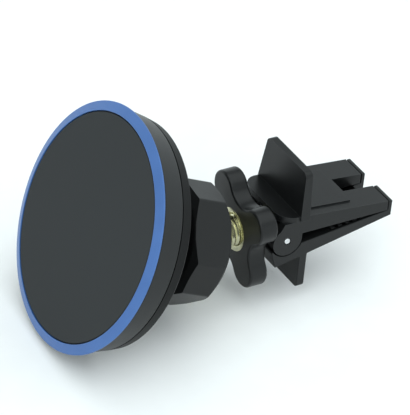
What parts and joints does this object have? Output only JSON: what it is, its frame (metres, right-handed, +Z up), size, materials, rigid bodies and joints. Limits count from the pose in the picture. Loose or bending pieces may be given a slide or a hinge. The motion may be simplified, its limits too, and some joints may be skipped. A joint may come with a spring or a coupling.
{
  "type": "car phone mount",
  "caption": "Magnetic phone holder with a tilting round face on a locked ball joint and a hinged clip that grips a car air vent blade.",
  "frame": {"origin": "middle of the grip between the two jaws, where a vent blade sits, on the centre plane of the clip", "axes": "+Y towards the vent along the stud, +Z up, +X the near side across the clip"},
  "size_m": [0.0599, 0.0901, 0.0568],
  "materials": {
    "face_rubber": "smooth matt soft-touch",
    "film": "thin adhesive film",
    "blue_trim": "satin blue",
    "graphite_plastic": "fine satin grain",
    "magnet": "nickel plated",
    "zinc_steel": "zinc plated",
    "black_plastic": "satin moulded",
    "screw_steel": "plated",
    "nylon": "natural nylon",
    "stud_brass": "bright turned",
    "pin_steel": "bright ground",
    "grip_rubber": "matt rubber"
  },
  "bodies": {
    "stud_body": {"ball_stud": "stud_brass", "hinge_pin": "pin_steel", "torsion_springs": "pin_steel"},
    "pan_body": {"front_ball_seat": "nylon"},
    "tilt_body": {"rear_ball_seat": "nylon"},
    "head_body": {"face_pad": "face_rubber", "pad_tape": "film", "accent_ring": "blue_trim", "front_shell": "graphite_plastic", "magnets": "magnet", "backing_plate": "zinc_steel", "magnet_tray": "black_plastic", "rear_cover": "graphite_plastic", "cover_screws": "screw_steel", "socket_body": "black_plastic", "socket_screws": "screw_steel"},
    "nut_body": {"lock_nut": "black_plastic"},
    "washer_body": {"thrust_washer": "zinc_steel"},
    "knob_body": {"knob": "black_plastic", "knob_insert": "stud_brass"},
    "upper_body": {"upper_jaw": "black_plastic", "upper_grip_pads": "grip_rubber"},
    "lower_body": {"lower_jaw": "black_plastic", "lower_grip_pads": "grip_rubber"}
  },
  "joints": [
    {"name": "head_pan", "type": "hinge", "parent": "stud_body", "child": "pan_body", "pos_m": [0, -0.0475, -0.001], "axis": [0, 0, 1], "range_deg": [-20, 28]},
    {"name": "head_tilt", "type": "hinge", "parent": "pan_body", "child": "tilt_body", "pos_m": [0, -0.0475, -0.001], "axis": [-0.9976, 0.0698, 0], "range_deg": [-46.5, 1.5]},
    {"name": "head_spin", "type": "hinge", "parent": "tilt_body", "child": "head_body", "pos_m": [0, -0.0475, -0.001], "axis": [-0.0644, -0.9216, 0.3827], "continuous": true},
    {"name": "lock_nut_turn", "type": "hinge", "parent": "head_body", "child": "nut_body", "pos_m": [0, -0.0475, -0.001], "axis": [-0.0644, -0.9216, 0.3827], "range_deg": [0, 180]},
    {"name": "knob_travel", "type": "slide", "parent": "stud_body", "child": "washer_body", "axis": [0, -1, 0], "range_m": [0, 0.00125]},
    {"name": "knob_turn", "type": "hinge", "parent": "washer_body", "child": "knob_body", "pos_m": [0, -0.029, -0.001], "axis": [0, -1, 0], "range_deg": [0, 360]},
    {"name": "upper_jaw_open", "type": "hinge", "parent": "stud_body", "child": "upper_body", "pos_m": [0, -0.024, -0.001], "axis": [1, 0, 0], "range_deg": [0, 10], "stiffness_Nm_per_rad": 0.1, "springref_deg": -28.65},
    {"name": "lower_jaw_open", "type": "hinge", "parent": "stud_body", "child": "lower_body", "pos_m": [0, -0.024, -0.001], "axis": [-1, 0, 0], "range_deg": [0, 10], "stiffness_Nm_per_rad": 0.1, "springref_deg": -28.65}
  ],
  "couplings": [
    {"joint": "knob_turn", "follows": "knob_travel", "rad_per_m": 5026.5},
    {"joint": "lower_jaw_open", "follows": "upper_jaw_open", "ratio": 1}
  ]
}
